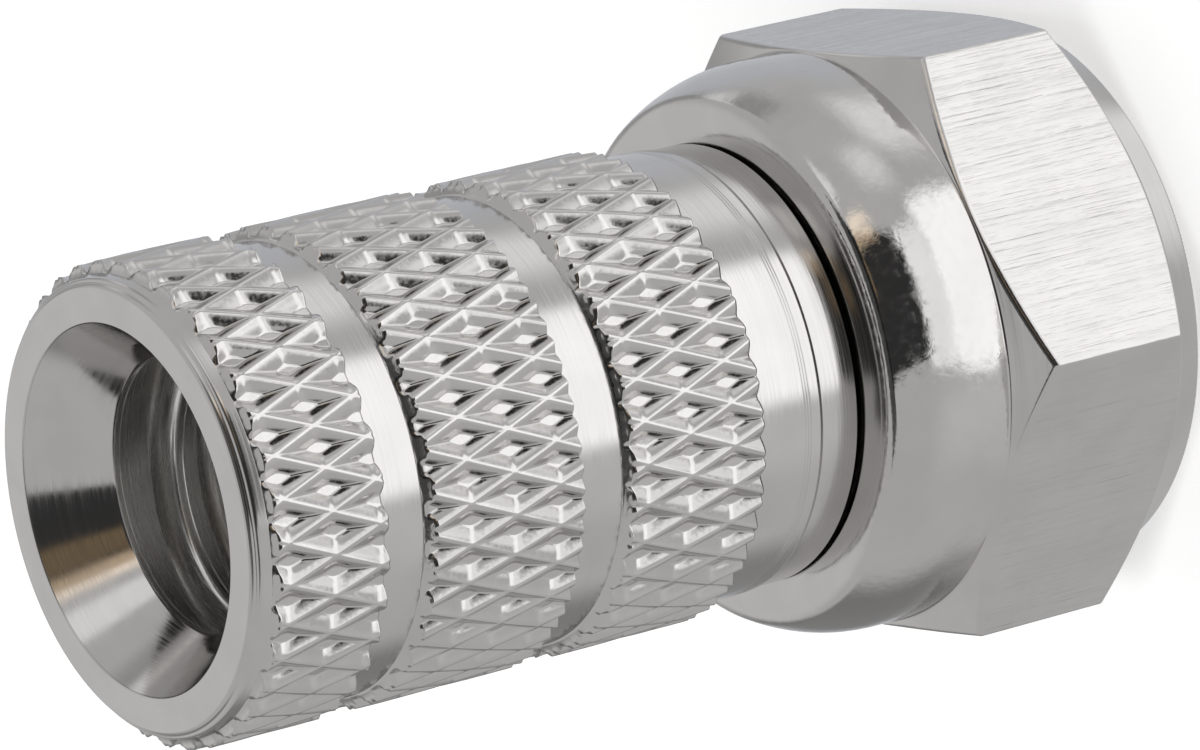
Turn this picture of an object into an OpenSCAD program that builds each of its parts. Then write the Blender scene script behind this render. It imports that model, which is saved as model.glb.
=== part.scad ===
/*
  F connector, twist-on, for coaxial cable.

  Two turned pieces. The barrel is one bar of brass: a knurled grip that
  screws down over the cable's jacket, a plain collar, a short neck and a
  flange. The coupling nut is a hexagon nut whose skirt is rolled in behind
  the flange, so that it spins freely on the barrel and can't come off.

  The connector stands on the nut's front face. Its axis is +Z, the origin is
  the middle of that face, and the cable goes in from the top. Lengths along
  the axis are stacked up from the origin, so each can change by itself.
*/

/* [Grip] */
// Diameter over the knurl
grip_d = 8.9; // [8.6:0.1:10.5]
// Depth of the diamond knurl
knurl_depth = 0.2; // [0.1:0.02:0.3]
// Diamonds around the grip
knurl_count = 36; // [24:2:48]
// Slant of the knurl's ridges against the axis
knurl_angle = 22; // [15:1:35]
// Diameter of the flat ring at the cable end
end_face_d = 8.1; // [7.8:0.1:8.3]
// Height of the bevel outside that ring
rim_bevel = 0.45; // [0.2:0.05:0.8]
// Length of the knurled band at the cable end
band_1_len = 2.7; // [1.5:0.1:5]
// Width of the first groove
groove_1_w = 1.0; // [0.6:0.1:2]
// Length of the middle knurled band
band_2_len = 3.2; // [1.5:0.1:6]
// Width of the second groove
groove_2_w = 1.1; // [0.6:0.1:2]
// Length of the knurled band beside the collar
band_3_len = 2.9; // [1.5:0.1:6]
// Depth of both grooves, from the top of the knurl
groove_depth = 0.25; // [0.15:0.05:0.4]
// Width of the bevel on the side of each groove that faces the cable end
groove_bevel = 0.14; // [0.05:0.01:0.3]

/* [Collar, neck and flange] */
// Diameter of the collar
collar_d = 8.44; // [8.2:0.02:8.48]
// Length of the collar
collar_len = 1.45; // [0.8:0.05:3]
// Diameter of the land that ends the collar
land_d = 8.34; // [8.0:0.02:8.4]
// Length of that land
land_len = 0.8; // [0.4:0.1:2]
// Diameter of the neck that the nut turns on
neck_d = 7.5; // [6.5:0.1:7.7]
// Diameter of the flange that keeps the nut on
flange_d = 9.2; // [8.8:0.1:9.2]
// Thickness of the flange
flange_t = 1.0; // [0.6:0.1:1.1]

/* [Way through for the cable] */
// Diameter of the mouth
mouth_d = 6.8; // [6.2:0.1:7.4]
// Depth of the mouth's countersink
mouth_depth = 1.4; // [0.8:0.1:3]
// Bore that screws onto the cable's jacket, at the crests of its thread
jacket_bore_d = 5.1; // [4.6:0.1:5.8]
// Length of that bore
jacket_bore_len = 7.0; // [4:0.5:10]
// Hole for the cable's insulation
insulation_hole_d = 3.9; // [3.0:0.1:4.2]
// Bevel at both ends of that hole
hole_bevel = 0.25; // [0.1:0.05:0.4]

/* [Coupling nut] */
// Width across the flats
nut_af = 11; // [11:0.1:12]
// Length of the nut
nut_len = 7.05; // [6.5:0.05:9]
// Diameter of the front face
front_face_d = 10.56; // [10.2:0.04:10.7]
// Wall round the flange, which sets the rim in front of the flats and the skirt behind them
skirt_wall = 0.7; // [0.65:0.01:0.72]
// Length of the rim in front of the flats
front_rim_len = 0.66; // [0.4:0.02:1.2]
// Length of the flats along their middle
flat_len = 3.92; // [3:0.02:4.2]
// Slope of the front bevel that rounds off the six corners
front_bevel_angle = 35; // [15:1:40]
// Slope of the rear bevel that rounds off the six corners
rear_bevel_angle = 26; // [15:1:40]
// Length of the skirt's dome
dome_len = 1.75; // [1:0.05:2.3]
// Radius of the skirt's dome
dome_r = 3.2; // [2.8:0.1:5]
// Diameter of the rear face
rear_face_d = 9.6; // [9.0:0.1:9.7]
// Width of the broken edge round the rear face
rear_edge = 0.2; // [0.1:0.05:0.3]
// Thickness of the lip that is rolled in behind the flange
lip_t = 0.65; // [0.5:0.05:0.9]
// Diameter of the port thread, 3/8 of an inch
port_thread_d = 9.525; // [9.4:0.025:9.6]
// Turns of the port thread per inch
port_thread_tpi = 32; // [28:1:40]
// Depth of the bevel that leads into the port thread
port_lead = 0.5; // [0.3:0.1:0.8]

/* [Fits] */
// Gap between the nut's rear face and the land
shoulder_gap = 0.1; // [0.05:0.05:0.3]
// Gap all round between the neck and the nut's lip
neck_gap = 0.2; // [0.1:0.05:0.3]
// Gap all round between the flange and the nut
flange_gap = 0.15; // [0.1:0.05:0.2]
// Gap behind and in front of the flange
flange_end_gap = 0.15; // [0.1:0.05:0.3]

/* [Look] */
// Facets of a full turn
facets = 96; // [48:24:144]

/* [Hidden] */

$fn = facets;
nickel = [0.78, 0.77, 0.75];
over = 1; // how far a cutting shape runs past what it cuts, and the collar into the grip
inch = 25.4;

// Heights on the barrel, from the flange up to the cable end
shoulder_z = nut_len + shoulder_gap;
land_z = shoulder_z + land_len;
collar_z = land_z + collar_len;
band_3_z = collar_z + band_3_len;
groove_2_z = band_3_z + groove_2_w;
band_2_z = groove_2_z + band_2_len;
groove_1_z = band_2_z + groove_1_w;
cable_end_z = groove_1_z + band_1_len;
mouth_z = cable_end_z - mouth_depth;
jacket_stop_z = mouth_z - jacket_bore_len;

// Heights in the nut that the flange sets
flange_top_z = nut_len - lip_t - flange_end_gap;
flange_bottom_z = flange_top_z - flange_t;
recess_z = flange_bottom_z - flange_end_gap;
dome_z = nut_len - dome_len;

// Radii
grip_r = grip_d / 2;
valley_r = grip_r - knurl_depth;
groove_r = grip_r - groove_depth;
flat_r = nut_af / 2;
corner_r = flat_r / cos(30);
lip_hole_r = neck_d / 2 + neck_gap;
recess_r = flange_d / 2 + flange_gap;
round_r = recess_r + skirt_wall;
thread_height = 0.54127 * inch / port_thread_tpi; // height of a 60 degree thread's flank
port_bore_r = port_thread_d / 2 - thread_height;

// Small bevels on the turned edges
edge = 0.06;
flange_edge = 0.15;

// Knurl: a net of crossing ridges with a pit in each mesh. Its points lie in
// rings. Round each ring, crossings and pits take turns, and each ring is
// turned one step against the one below it. The bar is knurled a little longer
// than the grip and then turned to length.
step_angle = 180 / knurl_count;
points_round = 2 * knurl_count;
ring_rise = PI * grip_r / knurl_count / tan(knurl_angle);
first_ring_z = collar_z - ring_rise / 4;
rings = ceil((cable_end_z - first_ring_z) / ring_rise) + 1;
bar_end_z = first_ring_z + rings * ring_rise;

function is_crossing(ring, i) = (ring + i) % 2 == 0;

function knurl_point(ring, i) =
    let (r = is_crossing(ring, i) ? grip_r : valley_r, a = i * step_angle)
    [r * cos(a), r * sin(a), first_ring_z + ring * ring_rise];

// Two triangles between two rings, which share the ridge that joins crossings
function knurl_mesh(ring, i) =
    let (
        low = ring * points_round + i,
        low_next = ring * points_round + (i + 1) % points_round,
        high = low + points_round,
        high_next = low_next + points_round
    )
    is_crossing(ring, i)
        ? [[low, high, high_next], [low, high_next, low_next]]
        : [[low, high, low_next], [high, high_next, low_next]];

module knurled_bar() {
    points = [
        for (ring = [0 : rings])
            for (i = [0 : points_round - 1])
                knurl_point(ring, i)
    ];
    sides = [
        for (ring = [0 : rings - 1])
            for (i = [0 : points_round - 1])
                each knurl_mesh(ring, i)
    ];
    bottom = [for (i = [0 : points_round - 1]) i];
    top = [for (i = [points_round - 1 : -1 : 0]) rings * points_round + i];
    polyhedron(points = points, faces = concat([bottom, top], sides));
}

// A plain groove turned into the knurled bar, with a bevel on its lower side
module groove(bottom_z, top_z) {
    slope = groove_bevel / groove_depth;
    rotate_extrude()
        polygon([
            [groove_r, bottom_z + groove_bevel],
            [grip_r + over, bottom_z - slope * over],
            [grip_r + over, top_z],
            [groove_r, top_z]
        ]);
}

// What is turned off the bar at the cable end: its spare length and the bevel
// that breaks the knurl
module cable_end_cut() {
    slope = rim_bevel / (grip_d / 2 - end_face_d / 2);
    rotate_extrude()
        polygon([
            [0, cable_end_z],
            [end_face_d / 2, cable_end_z],
            [grip_r + over, cable_end_z - rim_bevel - slope * over],
            [grip_r + over, bar_end_z + over],
            [0, bar_end_z + over]
        ]);
}

// What is turned off the bar below the knurl
module collar_end_cut() {
    translate([0, 0, first_ring_z - over])
        cylinder(r = grip_r + over, h = collar_z - first_ring_z + over);
}

module grip() {
    difference() {
        knurled_bar();
        collar_end_cut();
        groove(band_3_z, groove_2_z);
        groove(band_2_z, groove_1_z);
        cable_end_cut();
    }
}

// Everything below the grip, which is plainly turned and runs on into it
module turned_bar() {
    rotate_extrude()
        polygon([
            [0, flange_bottom_z],
            [flange_d / 2 - flange_edge, flange_bottom_z],
            [flange_d / 2, flange_bottom_z + flange_edge],
            [flange_d / 2, flange_top_z],
            [neck_d / 2, flange_top_z],
            [neck_d / 2, shoulder_z],
            [land_d / 2 - edge, shoulder_z],
            [land_d / 2, shoulder_z + edge],
            [land_d / 2, land_z - edge],
            [collar_d / 2, land_z],
            [collar_d / 2, collar_z + over],
            [0, collar_z + over]
        ]);
}

// The way through: countersunk mouth, jacket bore, insulation hole
module way_through() {
    mouth_slope = (mouth_d - jacket_bore_d) / 2 / mouth_depth;
    hole_r = insulation_hole_d / 2;
    rotate_extrude()
        polygon([
            [0, flange_bottom_z - over],
            [hole_r + hole_bevel + over, flange_bottom_z - over],
            [hole_r, flange_bottom_z + hole_bevel],
            [hole_r, jacket_stop_z - hole_bevel],
            [hole_r + hole_bevel, jacket_stop_z],
            [jacket_bore_d / 2, jacket_stop_z],
            [jacket_bore_d / 2, mouth_z],
            [mouth_d / 2 + mouth_slope * over, cable_end_z + over],
            [0, cable_end_z + over]
        ]);
}

module barrel() {
    color(nickel)
        difference() {
            union() {
                turned_bar();
                grip();
            }
            way_through();
        }
}

// Outline of the nut as if it were round: rim, corners between two bevels,
// and the skirt with its dome
module nut_outline() {
    front_flat_z = front_rim_len;
    rear_flat_z = front_rim_len + flat_len;
    beyond_r = corner_r + over / 2;
    inset = flat_r - round_r;
    front_slope = tan(front_bevel_angle);
    rear_slope = tan(rear_bevel_angle);
    difference() {
        polygon([
            [0, 0],
            [front_face_d / 2, 0],
            [round_r, front_flat_z - inset * front_slope],
            [beyond_r, front_flat_z + (beyond_r - flat_r) * front_slope],
            [beyond_r, rear_flat_z - (beyond_r - flat_r) * rear_slope],
            [round_r, rear_flat_z + inset * rear_slope],
            [round_r, nut_len - rear_edge],
            [rear_face_d / 2, nut_len],
            [0, nut_len]
        ]);
        difference() {
            translate([round_r - dome_r, dome_z])
                square([dome_r + over, dome_r + over]);
            translate([round_r - dome_r, dome_z])
                circle(r = dome_r);
        }
    }
}

// Inside of the nut: lead-in, port thread's bore, recess for the flange, lip
module nut_inside() {
    rotate_extrude()
        polygon([
            [0, -over],
            [port_bore_r + port_lead + over, -over],
            [port_bore_r, port_lead],
            [port_bore_r, recess_z],
            [recess_r, recess_z],
            [recess_r, nut_len - lip_t],
            [lip_hole_r, nut_len - lip_t],
            [lip_hole_r, nut_len + over],
            [0, nut_len + over]
        ]);
}

module coupling_nut() {
    color(nickel)
        difference() {
            intersection() {
                cylinder(r = corner_r, h = nut_len, $fn = 6);
                rotate_extrude()
                    nut_outline();
            }
            nut_inside();
        }
}

barrel();
coupling_nut();
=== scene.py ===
"""Looks of a twist-on F connector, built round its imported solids.

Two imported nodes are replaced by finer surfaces: the barrel, with its diamond
knurl and its inside thread, and the coupling nut. Lengths are millimetres
until a mesh is made. The axis is +Z, the nut's front face is at height 0 and
the cable goes in from the top.
"""

import logging
import math
from dataclasses import dataclass
from enum import Enum, IntEnum

import bpy
import numpy as np
import numpy.typing as npt
from mathutils import Matrix, Vector


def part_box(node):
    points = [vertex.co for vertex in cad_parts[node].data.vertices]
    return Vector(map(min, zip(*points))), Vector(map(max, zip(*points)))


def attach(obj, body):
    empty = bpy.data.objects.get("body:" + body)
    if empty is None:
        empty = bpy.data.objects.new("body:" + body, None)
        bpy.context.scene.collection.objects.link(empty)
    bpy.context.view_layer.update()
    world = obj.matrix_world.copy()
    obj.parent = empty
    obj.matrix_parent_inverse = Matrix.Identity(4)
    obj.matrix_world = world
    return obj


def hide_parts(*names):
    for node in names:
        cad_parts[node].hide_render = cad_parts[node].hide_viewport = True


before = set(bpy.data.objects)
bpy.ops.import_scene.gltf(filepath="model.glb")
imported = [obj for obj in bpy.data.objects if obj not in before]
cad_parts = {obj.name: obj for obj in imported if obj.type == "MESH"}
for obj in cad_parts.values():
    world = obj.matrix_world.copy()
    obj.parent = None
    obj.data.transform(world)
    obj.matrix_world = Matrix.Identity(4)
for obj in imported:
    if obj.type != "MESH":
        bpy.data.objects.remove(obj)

Array = npt.NDArray[np.float64]
Socket = bpy.types.NodeSocket
Input = float | tuple[float, ...] | Socket
Piece = bpy.types.Object
LOG = logging.getLogger("f_connector")

MM = 0.001
FULL_TURN = 2 * math.pi
# Most of a side that one softened corner takes, without and with its held station.
CURVE_SHARE, HELD_SHARE = 0.42, 0.48
# Depth to which a thread's ridge is sunk into its wall, in millimetres.
SUNK = 0.04
# Share of a ridge's height that its sunk ends keep.
LEAST_SHOWN = 0.01
# Stations in one turn of a thread, and the bend from which its edges are sharp.
THREAD_STEPS = 120
THREAD_CREASE_DEG = 40.0
# Range that a noise texture seldom leaves.
NOISE_RANGE = (0.3, 0.7)
# Slow patches in a metre of plating.
PATCH_SCALE = 900.0
# Half the angle that one flat of a hexagon spans.
HALF_FLAT = math.pi / 6
# Play between the flange and the front end of its recess, in millimetres.
FLANGE_PLAY = 0.15


# ---- surfaces


def rounded(path: Array, radii: dict[int, float], steps: int = 5, hold: float = 0.02) -> Array:
    """Softens chosen corners of a profile, and keeps the shading flat beside them.

    A corner P with neighbours A and B becomes the quadratic curve
    (1-s)(1-s) P1 + 2s(1-s) P + s s P2, where P1 and P2 lie on PA and PB at the
    given distance from P, or at a set share of that side if that is less. A
    station is held just beyond either end of the curve, on the straight.

    Args:
        path: stations x columns x 2, each a radius and a height.
        radii: station index to the distance at which its curve starts.
        steps: how many points each curve has.
        hold: how far beyond the curve the held stations are.

    Returns:
        The profile with more stations, in the same form.
    """
    s = np.linspace(0.0, 1.0, steps)[:, None, None]
    rows = []
    for i, corner in enumerate(path):
        if i not in radii:
            rows.append(corner[None])
            continue
        back, ahead = path[i - 1] - corner, path[(i + 1) % len(path)] - corner
        back_len = np.linalg.norm(back, axis=-1, keepdims=True)
        ahead_len = np.linalg.norm(ahead, axis=-1, keepdims=True)
        start_at = np.minimum(radii[i], CURVE_SHARE * back_len)
        end_at = np.minimum(radii[i], CURVE_SHARE * ahead_len)
        start = corner + back / back_len * start_at
        end = corner + ahead / ahead_len * end_at
        held_start = corner + back / back_len * np.minimum(start_at + hold, HELD_SHARE * back_len)
        held_end = corner + ahead / ahead_len * np.minimum(end_at + hold, HELD_SHARE * ahead_len)
        curve = (1 - s) ** 2 * start + 2 * s * (1 - s) * corner + s**2 * end
        rows.extend([held_start[None], curve, held_end[None]])
    return np.concatenate(rows)


def shaped(stations: list[tuple[float, float, float]]) -> Array:
    """Turns a table of stations into a profile with softened corners.

    Args:
        stations: radius, height and softening of each corner. A softening of
            0 leaves the corner sharp.

    Returns:
        The profile, stations x 1 x 2.
    """
    table = np.array(stations)
    reaches = {i: reach for i, reach in enumerate(table[:, 2]) if reach > 0}
    return rounded(table[:, None, :2], reaches)


def between(start: Array, end: Array, count: int) -> Array:
    """Evenly spaced stations from start to end, without the two ends."""
    s = np.linspace(0.0, 1.0, count + 2)[1:-1, None, None]
    return start * (1 - s) + end * s


def turned(path: Array, angles: Array) -> Array:
    """Carries a profile round the axis: (r cos a, r sin a, z) at every angle a.

    Args:
        path: stations x columns x 2. One column serves all angles.
        angles: the angle of each column.

    Returns:
        Points, stations x columns x 3, in millimetres.
    """
    radius, height = np.broadcast_to(path, (len(path), len(angles), 2)).transpose(2, 0, 1)
    return np.stack([radius * np.cos(angles), radius * np.sin(angles), height], axis=-1)


def tile_faces(rows: int, columns: int, lean: Array | None = None) -> Array:
    """Faces of a grid that closes on itself both ways.

    Args:
        rows: stations round the profile.
        columns: points round the axis.
        lean: where given, rows x columns of True and False, which says along
            which diagonal each tile is split into two triangles.

    Returns:
        Vertex indices, faces x 4, or x 3 where tiles are split.
    """
    index = np.arange(rows * columns).reshape(rows, columns)
    a, b = index, np.roll(index, -1, axis=1)
    c, d = np.roll(b, -1, axis=0), np.roll(index, -1, axis=0)
    if lean is None:
        return np.stack([a, b, c, d], axis=-1).reshape(-1, 4)
    one = np.stack([np.stack([a, b, c], -1), np.stack([a, c, d], -1)], axis=2)
    other = np.stack([np.stack([a, b, d], -1), np.stack([b, c, d], -1)], axis=2)
    return np.where(lean[:, :, None, None], one, other).reshape(-1, 3)


def outward(points: Array, faces: Array) -> Array:
    """Turns every face round if the closed surface is inside out.

    Six times the volume is the sum of a . (b x c) over the triangles.

    Args:
        points: the surface's points.
        faces: vertex indices.

    Returns:
        The same faces, all pointing outwards.
    """
    flat = points.reshape(-1, 3)
    corners = flat[faces]
    six_volumes = 0.0
    for k in range(1, faces.shape[1] - 1):
        cross = np.cross(corners[:, k], corners[:, k + 1])
        six_volumes += np.einsum("ij,ij->", corners[:, 0], cross)
    return faces if six_volumes > 0 else faces[:, ::-1]


def make_mesh(
    name: str,
    points: Array,
    faces: Array,
    finish_rows: Array | None = None,
    crease_deg: float | None = 28.0,
) -> Piece:
    """Puts a closed grid into a smooth-shaded mesh object at the origin.

    Args:
        name: the piece's name.
        points: rows x columns x 3, in millimetres.
        faces: vertex indices.
        finish_rows: material index of each face.
        crease_deg: edges that bend more than this are shaded sharp. None
            leaves all of them smooth.

    Returns:
        The new object, in metres.
    """
    faces = outward(points, faces)
    sides = faces.shape[1]
    mesh = bpy.data.meshes.new(name)
    mesh.vertices.add(points.size // 3)
    mesh.vertices.foreach_set("co", (points.reshape(-1) * MM).astype(np.float32))
    mesh.loops.add(faces.size)
    mesh.loops.foreach_set("vertex_index", faces.reshape(-1).astype(np.int32))
    mesh.polygons.add(len(faces))
    mesh.polygons.foreach_set("loop_start", np.arange(0, faces.size, sides, dtype=np.int32))
    if finish_rows is not None:
        mesh.polygons.foreach_set("material_index", finish_rows.astype(np.int32))
    mesh.update(calc_edges=True)
    mesh.validate()
    mesh.shade_smooth()
    if crease_deg is not None:
        mesh.set_sharp_from_angle(angle=math.radians(crease_deg))
    piece = bpy.data.objects.new(name, mesh)
    bpy.context.scene.collection.objects.link(piece)
    return piece


def dress(piece: Piece, *materials: bpy.types.Material) -> None:
    """Gives a piece its materials, in the order of its finish numbers."""
    for material in materials:
        piece.data.materials.append(material)


def winding(turns: float, fade: float) -> tuple[Array, Array]:
    """Stations along a helix, and how much of its ridge shows at each.

    The share shown is the angle to the nearer end over the fade's, and at most
    1. It is never quite 0, so that no face of a sunk end closes to nothing.

    Args:
        turns: length of the helix.
        fade: angle over which an end comes up out of the wall, in radians.

    Returns:
        The angle at each station, and the share of the ridge's height.
    """
    angles = np.linspace(0.0, turns * FULL_TURN, round(turns * THREAD_STEPS))
    return angles, np.clip(np.minimum(angles, angles[-1] - angles) / fade, LEAST_SHOWN, 1.0)


def coil(
    profile: Array, shown: Array, angles: Array, pitch: float, wall_r: float, least_r: Array | float = 0.0,
) -> Array:
    """Carries a ridge's profile along a helix on the inside of a wall.

    At every angle a the profile stands at height pitch x a / full turn. Its
    radius is the wall's less the ridge's height times the share shown, plus
    the sunk depth times the rest, and never less than the least radius there.

    Args:
        profile: points x 2, each a height over the wall and a place along Z.
        shown: share of the ridge's height at each angle.
        angles: the stations, in radians from the start of the helix.
        pitch: distance between two turns.
        wall_r: radius of the wall.
        least_r: the least radius, at each station or all along.

    Returns:
        Points, stations x points x 3, in millimetres.
    """
    height, along = profile[:, 0], profile[:, 1]
    radius = wall_r - height * shown[:, None] + SUNK * (1 - shown[:, None])
    radius = np.maximum(radius, np.reshape(least_r, (-1, 1)))
    turn = angles[:, None]
    z = pitch * turn / FULL_TURN + along
    return np.stack([radius * np.cos(turn), radius * np.sin(turn), z * np.ones_like(radius)], axis=-1)


def tube_faces(stations: int, points: int) -> Array:
    """Faces of a tube that closes round its profile and has both ends capped.

    Each cap joins the profile's points in mirrored pairs, so it needs an even
    number of them and no point in its middle.

    Args:
        stations: how many profiles stand along the tube.
        points: how many points each profile has.

    Returns:
        Vertex indices, faces x 4.
    """
    index = np.arange(stations * points).reshape(stations, points)
    a, d = index[:-1], index[1:]
    sides = np.stack([a, np.roll(a, -1, axis=1), np.roll(d, -1, axis=1), d], axis=-1).reshape(-1, 4)
    k = np.arange(points // 2 - 1)
    cap = np.stack([k, k + 1, points - 2 - k, points - 1 - k], axis=-1)
    return np.concatenate([sides, cap[:, ::-1], cap + (stations - 1) * points])


def ridge(root: float, crest: float, depth: float, edge: float = 0.025) -> Array:
    """Profile of a thread's ridge, a trapezoid with softened crest corners.

    Args:
        root: width at the wall.
        crest: width of the crest.
        depth: height over the wall.
        edge: softening of the crest's corners.

    Returns:
        Points x 2, each a height over the wall and a place along Z.
    """
    slope = (root - crest) / 2 / depth
    side = np.array([
        [-SUNK, root / 2],
        [0.0, root / 2],
        [depth - 2 * edge, crest / 2 + 2 * edge * slope],
        [depth - edge, crest / 2 + edge * slope],
        [depth - 0.3 * edge, crest / 2 - 0.1 * edge],
        [depth, crest / 2 - 1.2 * edge],
    ])
    return np.concatenate([side * (1, -1), side[::-1]])


# ---- finishes


class Desk:
    """A short way to lay out shader nodes."""

    def __init__(self, owner: bpy.types.Material | bpy.types.World) -> None:
        """Takes a material's or a world's nodes, and clears them.

        Args:
            owner: the material or the world.
        """
        owner.use_nodes = True
        self.tree = owner.node_tree
        self.tree.nodes.clear()

    def node(self, kind: str, settings: dict | None = None, **inputs: Input) -> bpy.types.Node:
        """Adds a node.

        Args:
            kind: the node's type without its ShaderNode prefix.
            settings: the node's own properties.
            inputs: socket name, or i and a number, to a value or a socket.

        Returns:
            The node.
        """
        made = self.tree.nodes.new("ShaderNode" + kind)
        for key, value in (settings or {}).items():
            setattr(made, key, value)
        for key, value in inputs.items():
            named = key[0] != "i" or not key[1:].isdigit()
            socket = made.inputs[key.replace("_", " ") if named else int(key[1:])]
            if isinstance(value, Socket):
                self.tree.links.new(value, socket)
            else:
                socket.default_value = value
        return made

    def math(self, operation: str, first: Input, second: Input = 0.0) -> Socket:
        """The result of a math node."""
        return self.node("Math", {"operation": operation}, i0=first, i1=second).outputs[0]

    def vector(self, operation: str, first: Input, second: Input = (0.0, 0.0, 0.0)) -> bpy.types.Node:
        """A vector math node."""
        return self.node("VectorMath", {"operation": operation}, i0=first, i1=second)

    def noise(self, settings: dict | None = None, **inputs: Input) -> Socket:
        """The value of a noise texture."""
        return self.node("TexNoise", settings, **inputs).outputs["Fac"]

    def spread(self, value: Input, low: float, high: float, to_low: float, to_high: float) -> Socket:
        """Carries a value from one range into another, smoothly and clamped."""
        ranged = {"interpolation_type": "SMOOTHSTEP"}
        return self.node("MapRange", ranged, i0=value, i1=low, i2=high, i3=to_low, i4=to_high).outputs[0]


class Grain(Enum):
    """The way that a tool has marked the metal."""

    AROUND = "rings left by turning"
    ALONG = "lines left by drawing the bar"
    NONE = "no direction"


@dataclass(frozen=True)
class Nickel:
    """Nickel plating over machined brass.

    Attributes:
        name: the material's name.
        grain: which way the fine marks run.
        tint: colour of the plating. A tint paler than the usual one also holds painted light.
        roughness: mean roughness.
        roughness_play: how far the marks change the roughness.
        mark_width: width of one mark, in millimetres.
        mark_depth: depth of the marks, in millimetres.
        blotch: how far slow patches darken the plating.
        wave_width: width of the broad waves under the plating, in millimetres.
        wave_depth: depth of the broad waves, in millimetres.
        line_stretch: width of a drawn line over its length.
        ring_change: how much a turned ring changes round the axis.
    """

    name: str
    grain: Grain
    tint: tuple[float, float, float] = (0.625, 0.612, 0.6)
    roughness: float = 0.16
    roughness_play: float = 0.08
    mark_width: float = 0.03
    mark_depth: float = 0.0006
    blotch: float = 0.05
    wave_width: float = 1.1
    wave_depth: float = 0.004
    line_stretch: float = 0.035
    ring_change: float = 1.3

    def marks(self, desk: Desk) -> Socket:
        """The height of the fine marks, from 0 to 1.

        Rings: noise over radius and height, which changes slowly round the
        axis. Lines: noise over the two cross directions, stretched along Z.

        Args:
            desk: the material's nodes.

        Returns:
            The height's socket.
        """
        place = desk.node("TexCoord").outputs["Object"]
        fine = 1 / (self.mark_width * MM)
        if self.grain is Grain.NONE:
            return desk.noise(Vector=place, Scale=fine, Detail=3.0)
        if self.grain is Grain.ALONG:
            stretched = desk.vector("MULTIPLY", place, (fine, fine, fine * self.line_stretch)).outputs[0]
            return desk.noise(Vector=stretched, Scale=1.0, Detail=4.0, Roughness=0.62)
        flat = desk.vector("MULTIPLY", place, (1.0, 1.0, 0.0)).outputs[0]
        radius = desk.vector("LENGTH", flat).outputs["Value"]
        height = desk.node("SeparateXYZ", Vector=place).outputs["Z"]
        way = desk.node("SeparateXYZ", Vector=desk.vector("NORMALIZE", flat).outputs[0]).outputs
        ringed = desk.node(
            "CombineXYZ",
            X=desk.math("MULTIPLY", radius, fine),
            Y=desk.math("MULTIPLY", height, fine),
            Z=desk.math("MULTIPLY", way["X"], self.ring_change),
        ).outputs[0]
        drift = desk.math("MULTIPLY", way["Y"], self.ring_change)
        four = {"noise_dimensions": "4D"}
        return desk.noise(four, Vector=ringed, W=drift, Scale=1.0, Detail=3.0, Roughness=0.6)

    def build(self) -> bpy.types.Material:
        """Makes the material.

        The fine marks set the roughness and a bump, on top of the bump of the
        broad waves. Slow patches shade the tint.

        Returns:
            The material.
        """
        made = bpy.data.materials.new(self.name)
        desk = Desk(made)
        marks = self.marks(desk)
        place = desk.node("TexCoord").outputs["Object"]
        patches = desk.noise(Vector=place, Scale=PATCH_SCALE, Detail=2.0)
        shade = desk.spread(patches, *NOISE_RANGE, 1 - self.blotch, 1.0)
        grey = desk.node("CombineColor", i0=shade, i1=shade, i2=shade).outputs[0]
        mixing = {"data_type": "RGBA", "blend_type": "MULTIPLY"}
        colour = desk.node("Mix", mixing, i0=1.0, i6=(*self.tint, 1.0), i7=grey).outputs[2]
        low, high = self.roughness - self.roughness_play, self.roughness + self.roughness_play
        rough = desk.spread(marks, *NOISE_RANGE, low, high)
        waves = desk.noise(Vector=place, Scale=1 / (self.wave_width * MM), Detail=1.0)
        broad = desk.node("Bump", Distance=self.wave_depth * MM, Height=waves).outputs[0]
        relief = desk.node("Bump", Distance=self.mark_depth * MM, Height=marks, Normal=broad).outputs[0]
        metal = desk.node("BsdfPrincipled", Metallic=1.0, Roughness=rough, Base_Color=colour, Normal=relief)
        desk.node("OutputMaterial", Surface=metal.outputs[0])
        return made


# ---- barrel


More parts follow.
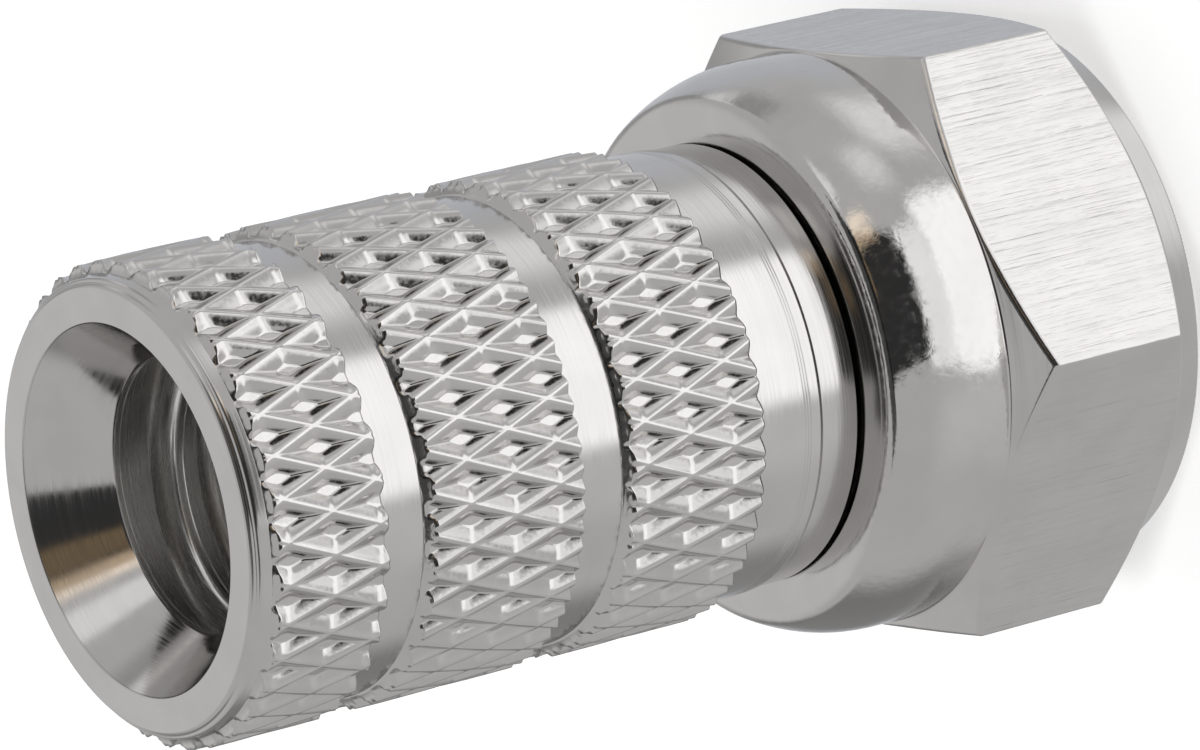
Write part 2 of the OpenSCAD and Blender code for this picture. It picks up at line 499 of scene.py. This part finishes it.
@dataclass(frozen=True)
class Knurl:
    """A diamond knurl: a net of crossing ridges with a pit in each mesh.

    Attributes:
        count: diamonds round the grip.
        period: length of one diamond along the axis.
        crest_r: radius over the ridges.
        depth: depth of the pits.
        lean: where each pit's middle lies between two ridges, 0.5 being midway.
            Below that it is nearer the nut.
        floor: share of the way from a ridge to the pit's middle at which the
            flat floor begins, which the blunt tip of the tool left.
        steepening: how much steeper a wall is at its foot than at the ridge.
        softness: rounding of ridges and floors, as a share of that way.
        blend: how sharply the four walls meet in their valleys.
        crossing_z: height of one row of crossings.
        crossing_turn: where that row starts round the axis, in diamonds.
        twist: diamonds by which the rows turn in a millimetre, because the
            two wheels of the tool never match.
    """

    count: int
    period: float
    crest_r: float
    depth: float = 0.185
    lean: float = 0.43
    floor: float = 0.75
    steepening: float = 0.9
    softness: float = 0.05
    blend: float = 8.0
    crossing_z: float = 15.874
    crossing_turn: float = 0.623
    twist: float = 0.035

    def phases(self, angle: Array, height: Array) -> tuple[Array, Array]:
        """Place between two ridges of each family, from 0 to 1.

        The phases are count x turns, less the twist, plus or minus
        (z - crossing z) / period. A ridge lies where its phase is whole.

        Args:
            angle: angles round the axis.
            height: heights along it.

        Returns:
            The phases of the rising and the falling family.
        """
        off = height - self.crossing_z
        turns = self.count * angle / FULL_TURN - self.crossing_turn - self.twist * off
        rise = off / self.period
        return (turns + rise) % 1.0, (turns - rise) % 1.0

    def way(self, rising: Array, falling: Array) -> Array:
        """Way from the nearest ridge, 0, to the pit's middle, 1.

        The four walls' own ways are joined by a soft minimum: the sum of
        their powers of -blend, to the power -1/blend, times what four equal
        ones need to give 1.

        Args:
            rising: phase of the rising family.
            falling: phase of the falling family.

        Returns:
            The way, from 0 to about 1.
        """
        near, far = self.lean, 1 - self.lean
        walls = np.stack([rising / near, (1 - rising) / far, falling / far, (1 - falling) / near])
        total = np.sum(np.maximum(walls, 1e-4) ** -self.blend, axis=0)
        return (total / 4) ** (-1 / self.blend)

    def radius(self, angle: Array, height: Array) -> Array:
        """Radius of the knurled surface.

        With w the way, softened at 0 by a hyperbola, the depth grows as
        w + steepening x w x w. It is levelled off at the floor by a second
        hyperbola, and scaled so that the floor has the full depth.

        Args:
            angle: angles round the axis.
            height: heights along it.

        Returns:
            The radius at each angle and height.
        """
        way = self.way(*self.phases(angle, height))
        way = np.hypot(way, self.softness) - self.softness
        fall = way + self.steepening * way**2
        full = self.floor + self.steepening * self.floor**2
        over = fall / full - 1
        level = 1 + (over - np.hypot(over, self.softness)) / 2
        return self.crest_r - self.depth * level

    def leans(self, angle: Array, height: Array) -> Array:
        """True for each tile whose diagonal should follow the falling family."""
        rising, falling = self.phases(angle, height)
        return np.minimum(falling, 1 - falling) < np.minimum(rising, 1 - rising)


class CoreFinish(IntEnum):
    """The finishes of the barrel's core, in the order of its materials."""

    TURNED = 0
    COUNTERSINK = 1
    # The tapped bore's finish, whose paler tint is painted light that brightens the inside of the bore.
    TAPPED_PAINTED_LIGHT = 2


@dataclass
class Barrel:
    """The barrel: knurled grip, collar, neck, flange and the way through.

    Attributes:
        end_z: height of the cable end.
        foot_z: height of the flange's front face.
        flange_r: radius of the flange.
        nut_end_z: height of the coupling nut's rear face.
        core_columns: points round the core.
        tiles_per_diamond: points across one diamond of the knurl.
        cone_rows: rows of the core with the countersink's finish, which
            starts in the middle of its softened foot.
    """

    end_z: float
    foot_z: float
    flange_r: float
    nut_end_z: float
    grip_r: float = 4.45
    groove_r: float = 4.2
    end_face_r: float = 4.02
    rim_len: float = 0.36
    band_1_len: float = 2.7
    groove_1_w: float = 1.0
    band_2_len: float = 3.2
    groove_2_w: float = 1.1
    band_3_len: float = 2.9
    collar_r: float = 4.22
    collar_len: float = 1.45
    land_r: float = 4.17
    ring_step: float = 0.06
    ring_half_w: float = 0.012
    ring_depth: float = 0.003
    shoulder_gap: float = 0.09
    neck_r: float = 3.75
    flange_t: float = 1.0
    mouth_r: float = 3.4
    mouth_depth: float = 1.4
    bore_r: float = 2.55
    bore_len: float = 7.0
    thread_root_r: float = 3.0
    thread_pitch: float = 1.0
    thread_root_w: float = 0.72
    thread_crest_w: float = 0.2
    thread_round: float = 0.04
    thread_foot_gap: float = 0.45
    thread_head_gap: float = 0.55
    thread_fade: float = 0.7
    hole_r: float = 1.95
    hole_bevel: float = 0.25
    knurl_count: int = 36
    knurl_period: float = 1.9224
    band_seat: float = 0.15
    band_burr: float = 0.03
    band_bevel: float = 0.17
    rim_overlap: float = 0.05
    rim_bevel: float = 0.1
    bevel_power: float = 1.7
    core_columns: int = 240
    tiles_per_diamond: int = 30
    cone_rows: int = 5

    def __post_init__(self) -> None:
        """Works out the heights, from the cable end down."""
        self.groove_1_top = self.end_z - self.band_1_len
        self.groove_1_foot = self.groove_1_top - self.groove_1_w
        self.groove_2_top = self.groove_1_foot - self.band_2_len
        self.groove_2_foot = self.groove_2_top - self.groove_2_w
        self.collar_top = self.groove_2_foot - self.band_3_len
        self.land_top = self.collar_top - self.collar_len
        self.shoulder_z = self.nut_end_z + self.shoulder_gap
        self.mouth_z = self.end_z - self.mouth_depth
        self.bore_stop_z = self.mouth_z - self.bore_len
        self.knurl = Knurl(self.knurl_count, self.knurl_period, self.grip_r)

    def band(self, name: str, foot: float, top: float, top_bevel: float) -> Piece:
        """One knurled band: a ring that sits on the core.

        Its outer radius is the smallest of three: the knurl's, a steep cone's
        that leaves a burr at the foot, and at the top the groove's plus the
        share of the bevel's height still to go, to the bevel's power, times
        the groove's depth. Rows follow the knurl's own step, so ridges run
        along the tiles' diagonals, and none lies close to an end.

        Args:
            name: the piece's name.
            foot: height of its lower end.
            top: height of its upper end.
            top_bevel: height of the bevel at the upper end.

        Returns:
            The piece.
        """
        columns = self.knurl_count * self.tiles_per_diamond
        angles = np.arange(columns) * FULL_TURN / columns
        step = self.knurl_period / self.tiles_per_diamond
        clear = 0.2
        first = math.ceil((foot - self.knurl.crossing_z) / step + clear)
        last = math.floor((top - self.knurl.crossing_z) / step - clear)
        inner = self.knurl.crossing_z + step * np.arange(first, last + 1)
        edges = [foot, foot + self.band_burr, top - top_bevel, top]
        heights = np.unique(np.concatenate([inner, edges]))[:, None]
        radius = self.knurl.radius(angles, heights)
        drop = self.grip_r - self.groove_r
        low = self.groove_r + drop * (heights - foot) / self.band_burr
        high = self.groove_r + drop * ((top - heights) / top_bevel) ** self.bevel_power
        radius = np.minimum(radius, np.minimum(low, high))
        outer = np.stack([radius, np.broadcast_to(heights, radius.shape)], axis=-1)
        seat_r = self.groove_r - self.band_seat
        seat = np.broadcast_to(np.array([[[seat_r, top]], [[seat_r, foot]]]), (2, columns, 2))
        path = np.concatenate([outer, seat])
        middle = (path[:, :, 1] + np.roll(path[:, :, 1], -1, axis=0)) / 2
        lean = self.knurl.leans(angles + FULL_TURN / columns / 2, middle)
        return make_mesh(name, turned(path, angles), tile_faces(*path.shape[:2], lean), crease_deg=None)

    def outside(self) -> Array:
        """Outer profile of the core, from the mouth's edge to the flange.

        Returns:
            The profile, stations x 1 x 2.
        """
        rim_r, end_z = self.end_face_r, self.end_z
        flange_top = self.foot_z + self.flange_t
        return shaped([
            (self.mouth_r, end_z, 0.04),
            (rim_r, end_z, 0.03),
            (rim_r + 0.07, end_z - 0.05, 0.02),
            (rim_r + 0.08, end_z - 0.09, 0.02),
            (rim_r + 0.16, end_z - 0.13, 0.04),
            (self.groove_r + 0.04, end_z - self.rim_len, 0.03),
            (self.groove_r, end_z - self.rim_len - 0.2, 0.02),
            (self.groove_r, self.collar_top, 0.01),
            (self.collar_r, self.collar_top, 0.01),
            *self.tool_rings(),
            (self.collar_r, self.land_top + 0.05, 0.03),
            (self.land_r, self.land_top, 0.03),
            (self.land_r, self.shoulder_z, 0.015),
            (self.neck_r, self.shoulder_z, 0.05),
            (self.neck_r, flange_top, 0.05),
            (self.flange_r, flange_top, 0.1),
            (self.flange_r, self.foot_z, 0.12),
            (self.hole_r + self.hole_bevel, self.foot_z, 0.05),
            (self.hole_r, self.foot_z + self.hole_bevel, 0.0),
        ])

    def tool_rings(self) -> list[tuple[float, float, float]]:
        """Fine rings that the turning tool left near the collar's front end.

        Returns:
            Stations of radius, height and softening: a sharp V for each ring,
            with a plain station beyond the first and the last.
        """
        heights = np.arange(self.land_top + 0.4, self.land_top + 0.24, -self.ring_step)
        beyond = 0.04
        rings = [(self.collar_r, heights[0] + beyond, 0.0)]
        for height in heights:
            rings += [
                (self.collar_r, height + self.ring_half_w, 0.0),
                (self.collar_r - self.ring_depth, height, 0.0),
                (self.collar_r, height - self.ring_half_w, 0.0),
            ]
        return [*rings, (self.collar_r, heights[-1] - beyond, 0.0)]

    def inside(self) -> Array:
        """Inner profile, from the insulation hole up to the countersink.

        The countersink ends in a short lip at the bore's own radius, and the
        wall between the lip and the bore's floor stands back to the thread's
        root.

        Returns:
            The profile, stations x 1 x 2.
        """
        return shaped([
            (self.hole_r, self.bore_stop_z - self.hole_bevel, 0.0),
            (self.hole_r + self.hole_bevel, self.bore_stop_z, 0.03),
            (self.thread_root_r, self.bore_stop_z, 0.05),
            (self.thread_root_r, self.mouth_z - 0.35, 0.03),
            (self.bore_r, self.mouth_z - 0.13, 0.03),
            (self.bore_r, self.mouth_z, 0.04),
            (self.mouth_r - 0.01, self.end_z - 0.02, 0.0),
        ])

    def thread(self) -> Piece:
        """The ridge that winds round the jacket bore.

        Returns:
            The piece.
        """
        first = self.bore_stop_z + self.thread_foot_gap
        turns = (self.mouth_z - self.thread_head_gap - first) / self.thread_pitch
        angles, shown = winding(turns, self.thread_fade)
        depth = self.thread_root_r - self.bore_r
        profile = ridge(self.thread_root_w, self.thread_crest_w, depth, self.thread_round)
        points = coil(profile, shown, angles, self.thread_pitch, self.thread_root_r)
        points[:, :, 2] += first
        faces = tube_faces(len(angles), len(profile))
        return make_mesh("barrel_thread", points, faces, crease_deg=THREAD_CREASE_DEG)

    def core(self) -> Piece:
        """The turned core with its rim, grooves, collar, flange and bores.

        Returns:
            The piece.
        """
        angles = np.arange(self.core_columns) * FULL_TURN / self.core_columns
        outer, inner = self.outside(), self.inside()
        path = np.concatenate([outer, inner])
        finish = np.full((len(path), len(angles)), CoreFinish.TURNED)
        finish[len(outer) - 1:] = CoreFinish.TAPPED_PAINTED_LIGHT
        finish[len(path) - self.cone_rows:] = CoreFinish.COUNTERSINK
        faces = tile_faces(*finish.shape)
        return make_mesh("barrel_core", turned(path, angles), faces, finish.reshape(-1))

    def build(self) -> list[Piece]:
        """Makes and dresses the barrel's pieces.

        Returns:
            The core, the thread and the three bands.
        """
        core, thread = self.core(), self.thread()
        # The tapped bore and its thread get a much paler tint than the rest of the nickel: painted light,
        # which stands in for the light that barely reaches inside the bore.
        painted_light_tapped = Nickel(
            "nickel_tapped", Grain.AROUND, tint=(0.87, 0.86, 0.84), roughness=0.22, roughness_play=0.1,
        ).build()
        plain = Nickel("nickel_turned", Grain.AROUND).build()
        cone = Nickel("nickel_countersink", Grain.AROUND, roughness=0.13, roughness_play=0.05).build()
        knurled = Nickel("nickel_knurled", Grain.NONE, roughness=0.14, mark_width=0.08).build()
        dress(core, plain, cone, painted_light_tapped)
        dress(thread, painted_light_tapped)
        bevel = self.band_bevel
        rim_foot = self.end_z - self.rim_len + self.rim_overlap
        bands = [
            self.band("grip_band_1", self.groove_1_top, rim_foot, self.rim_bevel),
            self.band("grip_band_2", self.groove_2_top, self.groove_1_foot + bevel, bevel),
            self.band("grip_band_3", self.collar_top, self.groove_2_foot + bevel, bevel),
        ]
        for band in bands:
            dress(band, knurled)
        return [core, thread, *bands]


# ---- coupling nut


class NutFinish(IntEnum):
    """The finishes of the nut's body, in the order of its materials."""

    TURNED = 0
    FLATS = 1
    DOME = 2
    BORE = 3


@dataclass
class CouplingNut:
    """The hexagon nut with its domed skirt and the port thread.

    Attributes:
        length: from the front face to the rear face.
        corner_r: radius over the hexagon's corners.
        recess_z: height of the front end of the flange's recess.
        rolled_from_r: radius at which the dome would meet the rear face if it
            kept its slope.
        rolled_to_r: radius at which the rolled edge ends in the rear face.
        flat_columns: points across one flat.
        corner_columns: points round one softened corner, with its two ends.
        flat_rows: rows along a flat, without its two edges.
        dome_rows: rows along the dome.
        roll_rows: rows along the rolled edge.
    """

    length: float
    corner_r: float
    recess_z: float
    front_face_r: float = 5.28
    round_r: float = 5.45
    front_rim_len: float = 0.66
    flat_len: float = 3.92
    front_bevel_deg: float = 35.0
    rear_bevel_deg: float = 26.0
    dome_len: float = 1.75
    dome_r: float = 3.2
    rear_face_r: float = 4.8
    rear_edge: float = 0.2
    lip_t: float = 0.65
    lip_hole_r: float = 3.95
    recess_r: float = 4.75
    thread_major_r: float = 4.7625
    thread_pitch: float = 0.79375
    thread_start: float = 0.2
    thread_fade: float = 0.6
    thread_stop: float = 0.15
    thread_tail: float = 0.5
    port_lead: float = 0.5
    port_widening: float = 0.07
    corner_round: float = 0.07
    rolled_from_r: float = 4.94
    rolled_to_r: float = 4.4
    edge_round: float = 0.1
    flat_columns: int = 33
    corner_columns: int = 9
    flat_rows: int = 8
    dome_rows: int = 15
    roll_rows: int = 12

    def __post_init__(self) -> None:
        """Works out the flats' half width and rear end, and the thread's depth.

        The thread is 5/8 as deep as the sharp V of its pitch.
        """
        self.flat_r = self.corner_r * math.cos(HALF_FLAT)
        self.rear_flat_z = self.front_rim_len + self.flat_len
        self.thread_depth = 0.54127 * self.thread_pitch

    def hexagon(self) -> tuple[Array, Array]:
        """Outline of the flats: angle and radius of each column.

        On a flat the radius is the half width over cos(angle off its middle).
        A corner is an arc whose centre lies on the corner's ray, one rounding
        radius inside both flats.

        Returns:
            The angles and the radii.
        """
        reach = math.atan((self.flat_r - self.corner_round) * math.tan(HALF_FLAT) / self.flat_r)
        across = np.linspace(-reach, reach, self.flat_columns)
        flat = self.flat_r / np.cos(across)
        centre = (self.flat_r - self.corner_round) / math.cos(HALF_FLAT)
        turn = np.linspace(-HALF_FLAT, HALF_FLAT, self.corner_columns)[1:-1]
        x = centre + self.corner_round * np.cos(turn)
        y = self.corner_round * np.sin(turn)
        angle = np.concatenate([across, HALF_FLAT + np.arctan2(y, x)])
        radius = np.concatenate([flat, np.hypot(x, y)])
        sides = np.arange(6)[:, None] * math.pi / 3 + HALF_FLAT
        return (angle + sides).reshape(-1), np.tile(radius, 6)

    def outside(self, radius: Array) -> Array:
        """Outer profile from the front face to the lip.

        Each bevel is a cone, so its edge on a flat climbs with the tangent of
        the bevel's angle times how far the flat is from the axis there. The
        dome is an arc, and rolls over into the rear face along the quadratic
        curve (1-s)(1-s) P1 + 2s(1-s) P + s s P2 round the face's corner P.

        Args:
            radius: radius of the hexagon at each column.

        Returns:
            The profile, stations x columns x 2.
        """
        front = math.tan(math.radians(self.front_bevel_deg))
        rear = math.tan(math.radians(self.rear_bevel_deg))
        ones = np.ones_like(radius)

        def ring(r: Array | float, z: Array | float) -> Array:
            """One station, at the same place or at each column's own."""
            return np.stack([r * ones, z * ones], axis=-1)

        inset = self.flat_r - self.round_r
        front_edge = ring(radius, self.front_rim_len + (radius - self.flat_r) * front)
        rear_edge = ring(radius, self.rear_flat_z - (radius - self.flat_r) * rear)
        dome_z = self.length - self.dome_len
        dome = [
            ring(self.round_r - self.dome_r + math.sqrt(self.dome_r**2 - d * d), dome_z + d)
            for d in np.linspace(0.0, self.dome_len - self.rear_edge, self.dome_rows)
        ]
        corner, face = ring(self.rolled_from_r, self.length), ring(self.rolled_to_r, self.length)
        rolled = [
            (1 - s) ** 2 * dome[-1] + 2 * s * (1 - s) * corner + s**2 * face
            for s in np.linspace(0.08, 1.0, self.roll_rows)
        ]
        path = np.stack([
            ring(self.thread_major_r + self.port_widening, 0.0),
            ring(self.front_face_r, 0.0),
            ring(self.round_r, self.front_rim_len - inset * front),
            front_edge,
            *between(front_edge[None], rear_edge[None], self.flat_rows),
            rear_edge,
            ring(self.round_r, self.rear_flat_z + inset * rear),
            *dome,
            *rolled,
            ring(self.rolled_to_r - 0.02, self.length),
            ring(self.lip_hole_r, self.length),
        ])
        rear_at = self.flat_rows + 4
        softened = {0: 0.05, 1: 0.05, 2: 0.03, 3: 0.03, rear_at: self.edge_round, rear_at + 1: 0.03}
        return rounded(path, {**softened, len(path) - 1: 0.03})

    def inside(self) -> Array:
        """Inner profile, from the lip down through the recess and the thread's root to the front face.

        Returns:
            The profile, stations x 1 x 2.
        """
        crest_r = self.thread_major_r - self.thread_depth
        stop_z = self.recess_z - self.thread_stop
        return shaped([
            (self.lip_hole_r, self.length - self.lip_t, 0.03),
            (self.recess_r, self.length - self.lip_t, 0.05),
            (self.recess_r, self.recess_z, 0.03),
            (crest_r, self.recess_z, 0.03),
            (crest_r, stop_z, 0.03),
            (self.thread_major_r, stop_z - self.thread_depth, 0.03),
            (self.thread_major_r, 0.1, 0.02),
            (self.thread_major_r + self.port_widening, 0.03, 0.0),
        ])

    def thread(self) -> Piece:
        """The ridge of the port thread, which starts in the front face's countersink.

        Its root is 7/8 of the pitch wide and its crest a quarter. The least
        radius is the countersink's, which shrinks as the height grows.

        Returns:
            The piece.
        """
        turns = (self.recess_z - self.thread_tail) / self.thread_pitch
        angles, shown = winding(turns, self.thread_fade)
        profile = ridge(0.875 * self.thread_pitch, 0.25 * self.thread_pitch, self.thread_depth)
        height = self.thread_start + self.thread_pitch * angles / FULL_TURN
        lead = self.thread_major_r - self.thread_depth + self.port_lead - height
        points = coil(profile, shown, angles, self.thread_pitch, self.thread_major_r, lead)
        points[:, :, 2] = np.maximum(points[:, :, 2] + self.thread_start, 0.02)
        faces = tube_faces(len(angles), len(profile))
        return make_mesh("coupling_nut_thread", points, faces, crease_deg=THREAD_CREASE_DEG)

    def body(self) -> Piece:
        """The nut without its thread.

        Returns:
            The piece.
        """
        angles, radius = self.hexagon()
        outer, inner = self.outside(radius), self.inside()
        path = np.concatenate([outer, np.broadcast_to(inner, (len(inner), len(angles), 2))])
        middle = (path[:, :, 1] + np.roll(path[:, :, 1], -1, axis=0)) / 2
        on_hexagon = np.abs(path[:, :, 0] - radius) < 1e-4
        finish = np.full(path.shape[:2], NutFinish.TURNED)
        finish[on_hexagon & np.roll(on_hexagon, -1, axis=0)] = NutFinish.FLATS
        finish[(middle > self.rear_flat_z + 0.02) & (path[:, :, 0] > self.rear_face_r)] = NutFinish.DOME
        finish[len(outer):] = NutFinish.BORE
        faces = tile_faces(*finish.shape)
        return make_mesh("coupling_nut_body", turned(path, angles), faces, finish.reshape(-1))

    def build(self) -> list[Piece]:
        """Makes and dresses the nut.

        Returns:
            The body and the thread.
        """
        body = self.body()
        drawn = Nickel(
            "nickel_drawn_flats", Grain.ALONG, roughness=0.17,
            mark_width=0.12, mark_depth=0.02, wave_width=1.3, wave_depth=0.04,
        )
        looks = (
            Nickel("nickel_nut_turned", Grain.AROUND, roughness=0.14),
            drawn,
            Nickel("nickel_dome", Grain.NONE, roughness=0.1, mark_width=0.16, mark_depth=0.0035),
            Nickel("nickel_nut_bore", Grain.AROUND, roughness=0.2),
        )
        dress(body, *(look.build() for look in looks))
        thread = self.thread()
        dress(thread, Nickel("nickel_port_thread", Grain.AROUND, roughness=0.2).build())
        return [body, thread]


# ---- studio


@dataclass(frozen=True)
class Softbox:
    """A soft rectangle of light, or of shade, far off in one direction.

    Attributes:
        azimuth: direction in degrees, from +X towards +Y.
        elevation: degrees above the horizon.
        half_w: half its width, in degrees.
        half_h: half its height, in degrees.
        strength: what it adds to the light from there. Below 0 it is a shade.
        softness: width of its soft edge, in degrees.
        colour: colour of what it adds.
    """

    azimuth: float
    elevation: float
    half_w: float
    half_h: float
    strength: float
    softness: float = 3.0
    colour: tuple[float, float, float] = (1.0, 1.0, 1.0)

    def axes(self) -> tuple[Vector, Vector, Vector]:
        """Three directions at right angles.

        Returns:
            To its middle, to its right and up it.
        """
        az, el = math.radians(self.azimuth), math.radians(self.elevation)
        middle = Vector((math.cos(el) * math.cos(az), math.cos(el) * math.sin(az), math.sin(el)))
        right = Vector((0.0, 0.0, 1.0)).cross(middle).normalized()
        return middle, right, middle.cross(right)

    def light(self, desk: Desk, way: Socket, rest: Input) -> Socket:
        """The light from a given direction, this box's and the rest's.

        The direction's parts along right and up, over its part along the
        middle, are tangents of angles, and each fades out at the box's edge.

        Args:
            desk: the world's nodes.
            way: the direction.
            rest: the light from there without this box.

        Returns:
            The sum.
        """
        middle, right, up = self.axes()
        ahead = desk.vector("DOT_PRODUCT", way, tuple(middle)).outputs["Value"]
        ahead = desk.math("MAXIMUM", ahead, 0.001)
        level = 1.0
        for axis, half in ((right, self.half_w), (up, self.half_h)):
            part = desk.vector("DOT_PRODUCT", way, tuple(axis)).outputs["Value"]
            tangent = desk.math("ABSOLUTE", desk.math("DIVIDE", part, ahead))
            inner = math.tan(math.radians(half - self.softness / 2))
            outer = math.tan(math.radians(half + self.softness / 2))
            level = desk.math("MULTIPLY", desk.spread(tangent, inner, outer, 1.0, 0.0), level)
        full = tuple(self.strength * part for part in self.colour)
        return desk.node("VectorMath", {"operation": "MULTIPLY_ADD"}, i0=level, i1=full, i2=rest).outputs[0]


@dataclass(frozen=True)
class Studio:
    """Pale floor, even light and the camera.

    Attributes:
        wall_level: light from every direction that no softbox changes.
        least_level: the least that a shade leaves of it.
        softboxes: what the metal mirrors besides the walls.
        floor_r: radius of the floor.
        floor_z: height of the floor, just under the front face.
        floor_sides: points round the floor.
        view_deg: the camera's turn about the axis, its fall and its roll.
        target: the point that it looks at.
        distance: how far it is from there.
    """

    wall_level: float = 0.58
    least_level: float = 0.02
    # Azimuth, elevation, half width, half height, strength, softness, colour.
    softboxes: tuple[Softbox, ...] = (
        Softbox(-95.5, -37, 29.5, 15, 0.9, 8.0),
        Softbox(-62, -64, 22, 9, 0.5, 8.0),
        Softbox(-100, -12, 26, 9, 0.6, 6.0),
        Softbox(-46, -12, 8, 9, 0.35, 14.0),
        Softbox(-22, -34, 12, 10, 0.45, 18.0),
        Softbox(-98, 29, 27, 33, -0.54, 4.0),
        Softbox(-106, 69, 34, 17, -0.5, 5.0),
        Softbox(116, -16, 24, 24, -0.32, 20.0),
        Softbox(26, 2, 32, 12, -0.2, 12.0),
        Softbox(18, 3, 6, 12, 0.42, 8.0),
        Softbox(-68, 21, 6, 13, 0.6, 6.0, (1.0, 0.76, 0.5)),
        Softbox(-86, 36, 7, 5, 0.2, 5.0, (1.0, 0.66, 0.3)),
        Softbox(-42, 26, 9, 11, 0.4, 6.0),
        Softbox(-150, -30, 14, 22, 0.1, 20.0),
        Softbox(73, 30, 30, 20, 0.12, 20.0),
        Softbox(49, -36, 30, 25, 0.06, 25.0, (0.0, 0.3, 1.0)),
    )
    floor_r: float = 600.0
    floor_z: float = -0.01
    floor_sides: int = 96
    view_deg: tuple[float, float, float] = (16.55, 33.32, 103.74)
    target: tuple[float, float, float] = (0.284, -0.242, 9.920)
    distance: float = 147.28

    def world(self) -> None:
        """Grey walls with softboxes for the metal to mirror, and white behind the object."""
        made = bpy.data.worlds.new("studio")
        desk = Desk(made)
        way = desk.node("TexCoord").outputs["Generated"]
        level = (self.wall_level,) * 3
        for box in self.softboxes:
            level = box.light(desk, way, level)
        level = desk.vector("MAXIMUM", level, (self.least_level,) * 3).outputs[0]
        seen = desk.node("LightPath").outputs["Is Camera Ray"]
        shown = desk.node("Mix", {"data_type": "VECTOR"}, i0=seen, i4=level, i5=(1.0, 1.0, 1.0)).outputs[1]
        lit = desk.node("Background", Color=shown)
        desk.node("OutputWorld", Surface=lit.outputs[0])
        bpy.context.scene.world = made

    def floor(self) -> None:
        """A round pale floor under the connector."""
        angles = np.arange(self.floor_sides) * FULL_TURN / self.floor_sides
        rim = turned(np.array([[[self.floor_r, self.floor_z]]]), angles)[0]
        mesh = bpy.data.meshes.new("floor")
        mesh.from_pydata((rim * MM).tolist(), [], [list(range(self.floor_sides))])
        made = bpy.data.objects.new("floor", mesh)
        bpy.context.scene.collection.objects.link(made)
        pale = bpy.data.materials.new("pale_floor")
        desk = Desk(pale)
        matt = desk.node("BsdfDiffuse", Color=(0.88, 0.88, 0.88, 1.0))
        glow = desk.node("Emission", Color=(1.0, 1.0, 1.0, 1.0), Strength=0.45)
        seen = desk.node("LightPath").outputs["Is Camera Ray"]
        none = desk.node("Emission", Strength=0.0)
        extra = desk.node("MixShader", i0=seen, i1=none.outputs[0], i2=glow.outputs[0])
        both = desk.node("AddShader", i0=matt.outputs[0], i1=extra.outputs[0])
        desk.node("OutputMaterial", Surface=both.outputs[0])
        mesh.materials.append(pale)
        made.visible_glossy = False
        made.visible_shadow = False

    def lamp(self) -> None:
        """One broad lamp overhead, which gives the floor its soft shadow."""
        light = bpy.data.lights.new("overhead", "AREA")
        light.shape = "DISK"
        light.size = 0.25
        light.energy = 0.35
        made = bpy.data.objects.new("overhead", light)
        made.location = (-0.1, -0.05, 0.3)
        made.rotation_euler = made.location.to_track_quat("Z", "Y").to_euler()
        made.visible_glossy = False
        bpy.context.scene.collection.objects.link(made)

    def camera(self) -> None:
        """The camera looks into the cable end from the side, and is rolled so that the axis lies down."""
        azimuth, elevation, roll = (math.radians(a) for a in self.view_deg)
        forward = Vector((
            math.sin(azimuth) * math.cos(elevation),
            math.cos(azimuth) * math.cos(elevation),
            -math.sin(elevation),
        ))
        lens = bpy.data.cameras.new("camera")
        lens.sensor_width = 36.0
        lens.lens = 240.0
        lens.clip_start = 0.01
        lens.clip_end = 10.0
        made = bpy.data.objects.new("camera", lens)
        upright = forward.to_track_quat("-Z", "Y")
        made.rotation_mode = "QUATERNION"
        made.rotation_quaternion = Matrix.Rotation(roll, 3, forward).to_quaternion() @ upright
        made.location = Vector(self.target) * MM - forward * (self.distance * MM)
        bpy.context.scene.collection.objects.link(made)
        bpy.context.scene.camera = made

    def build(self) -> None:
        """Sets up the whole studio."""
        bpy.context.scene.view_settings.view_transform = "Standard"
        self.world()
        self.floor()
        self.lamp()
        self.camera()


def corners(box: tuple) -> list[list[float]]:
    """A box's two corners as plain lists of numbers."""
    return [[float(v) for v in corner] for corner in box]


def main() -> None:
    """Builds the connector piece by piece, then the studio."""
    logging.basicConfig(level=logging.INFO, format="%(name)s: %(message)s")
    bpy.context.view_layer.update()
    barrel_low, barrel_high = (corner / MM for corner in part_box("barrel"))
    nut_low, nut_high = (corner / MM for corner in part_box("coupling_nut"))
    barrel = Barrel(end_z=barrel_high.z, foot_z=barrel_low.z, flange_r=barrel_high.x, nut_end_z=nut_high.z)
    nut = CouplingNut(length=nut_high.z, corner_r=nut_high.x, recess_z=barrel_low.z - FLANGE_PLAY)
    for pieces, node, body in ((barrel.build(), "barrel", "barrel"), (nut.build(), "coupling_nut", "nut")):
        for piece in pieces:
            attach(piece, body)
            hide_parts(node)
            LOG.info("%s: %d faces, rides on %s", piece.name, len(piece.data.polygons), body)
    Studio().build()


if __name__ == "__main__":
    main()
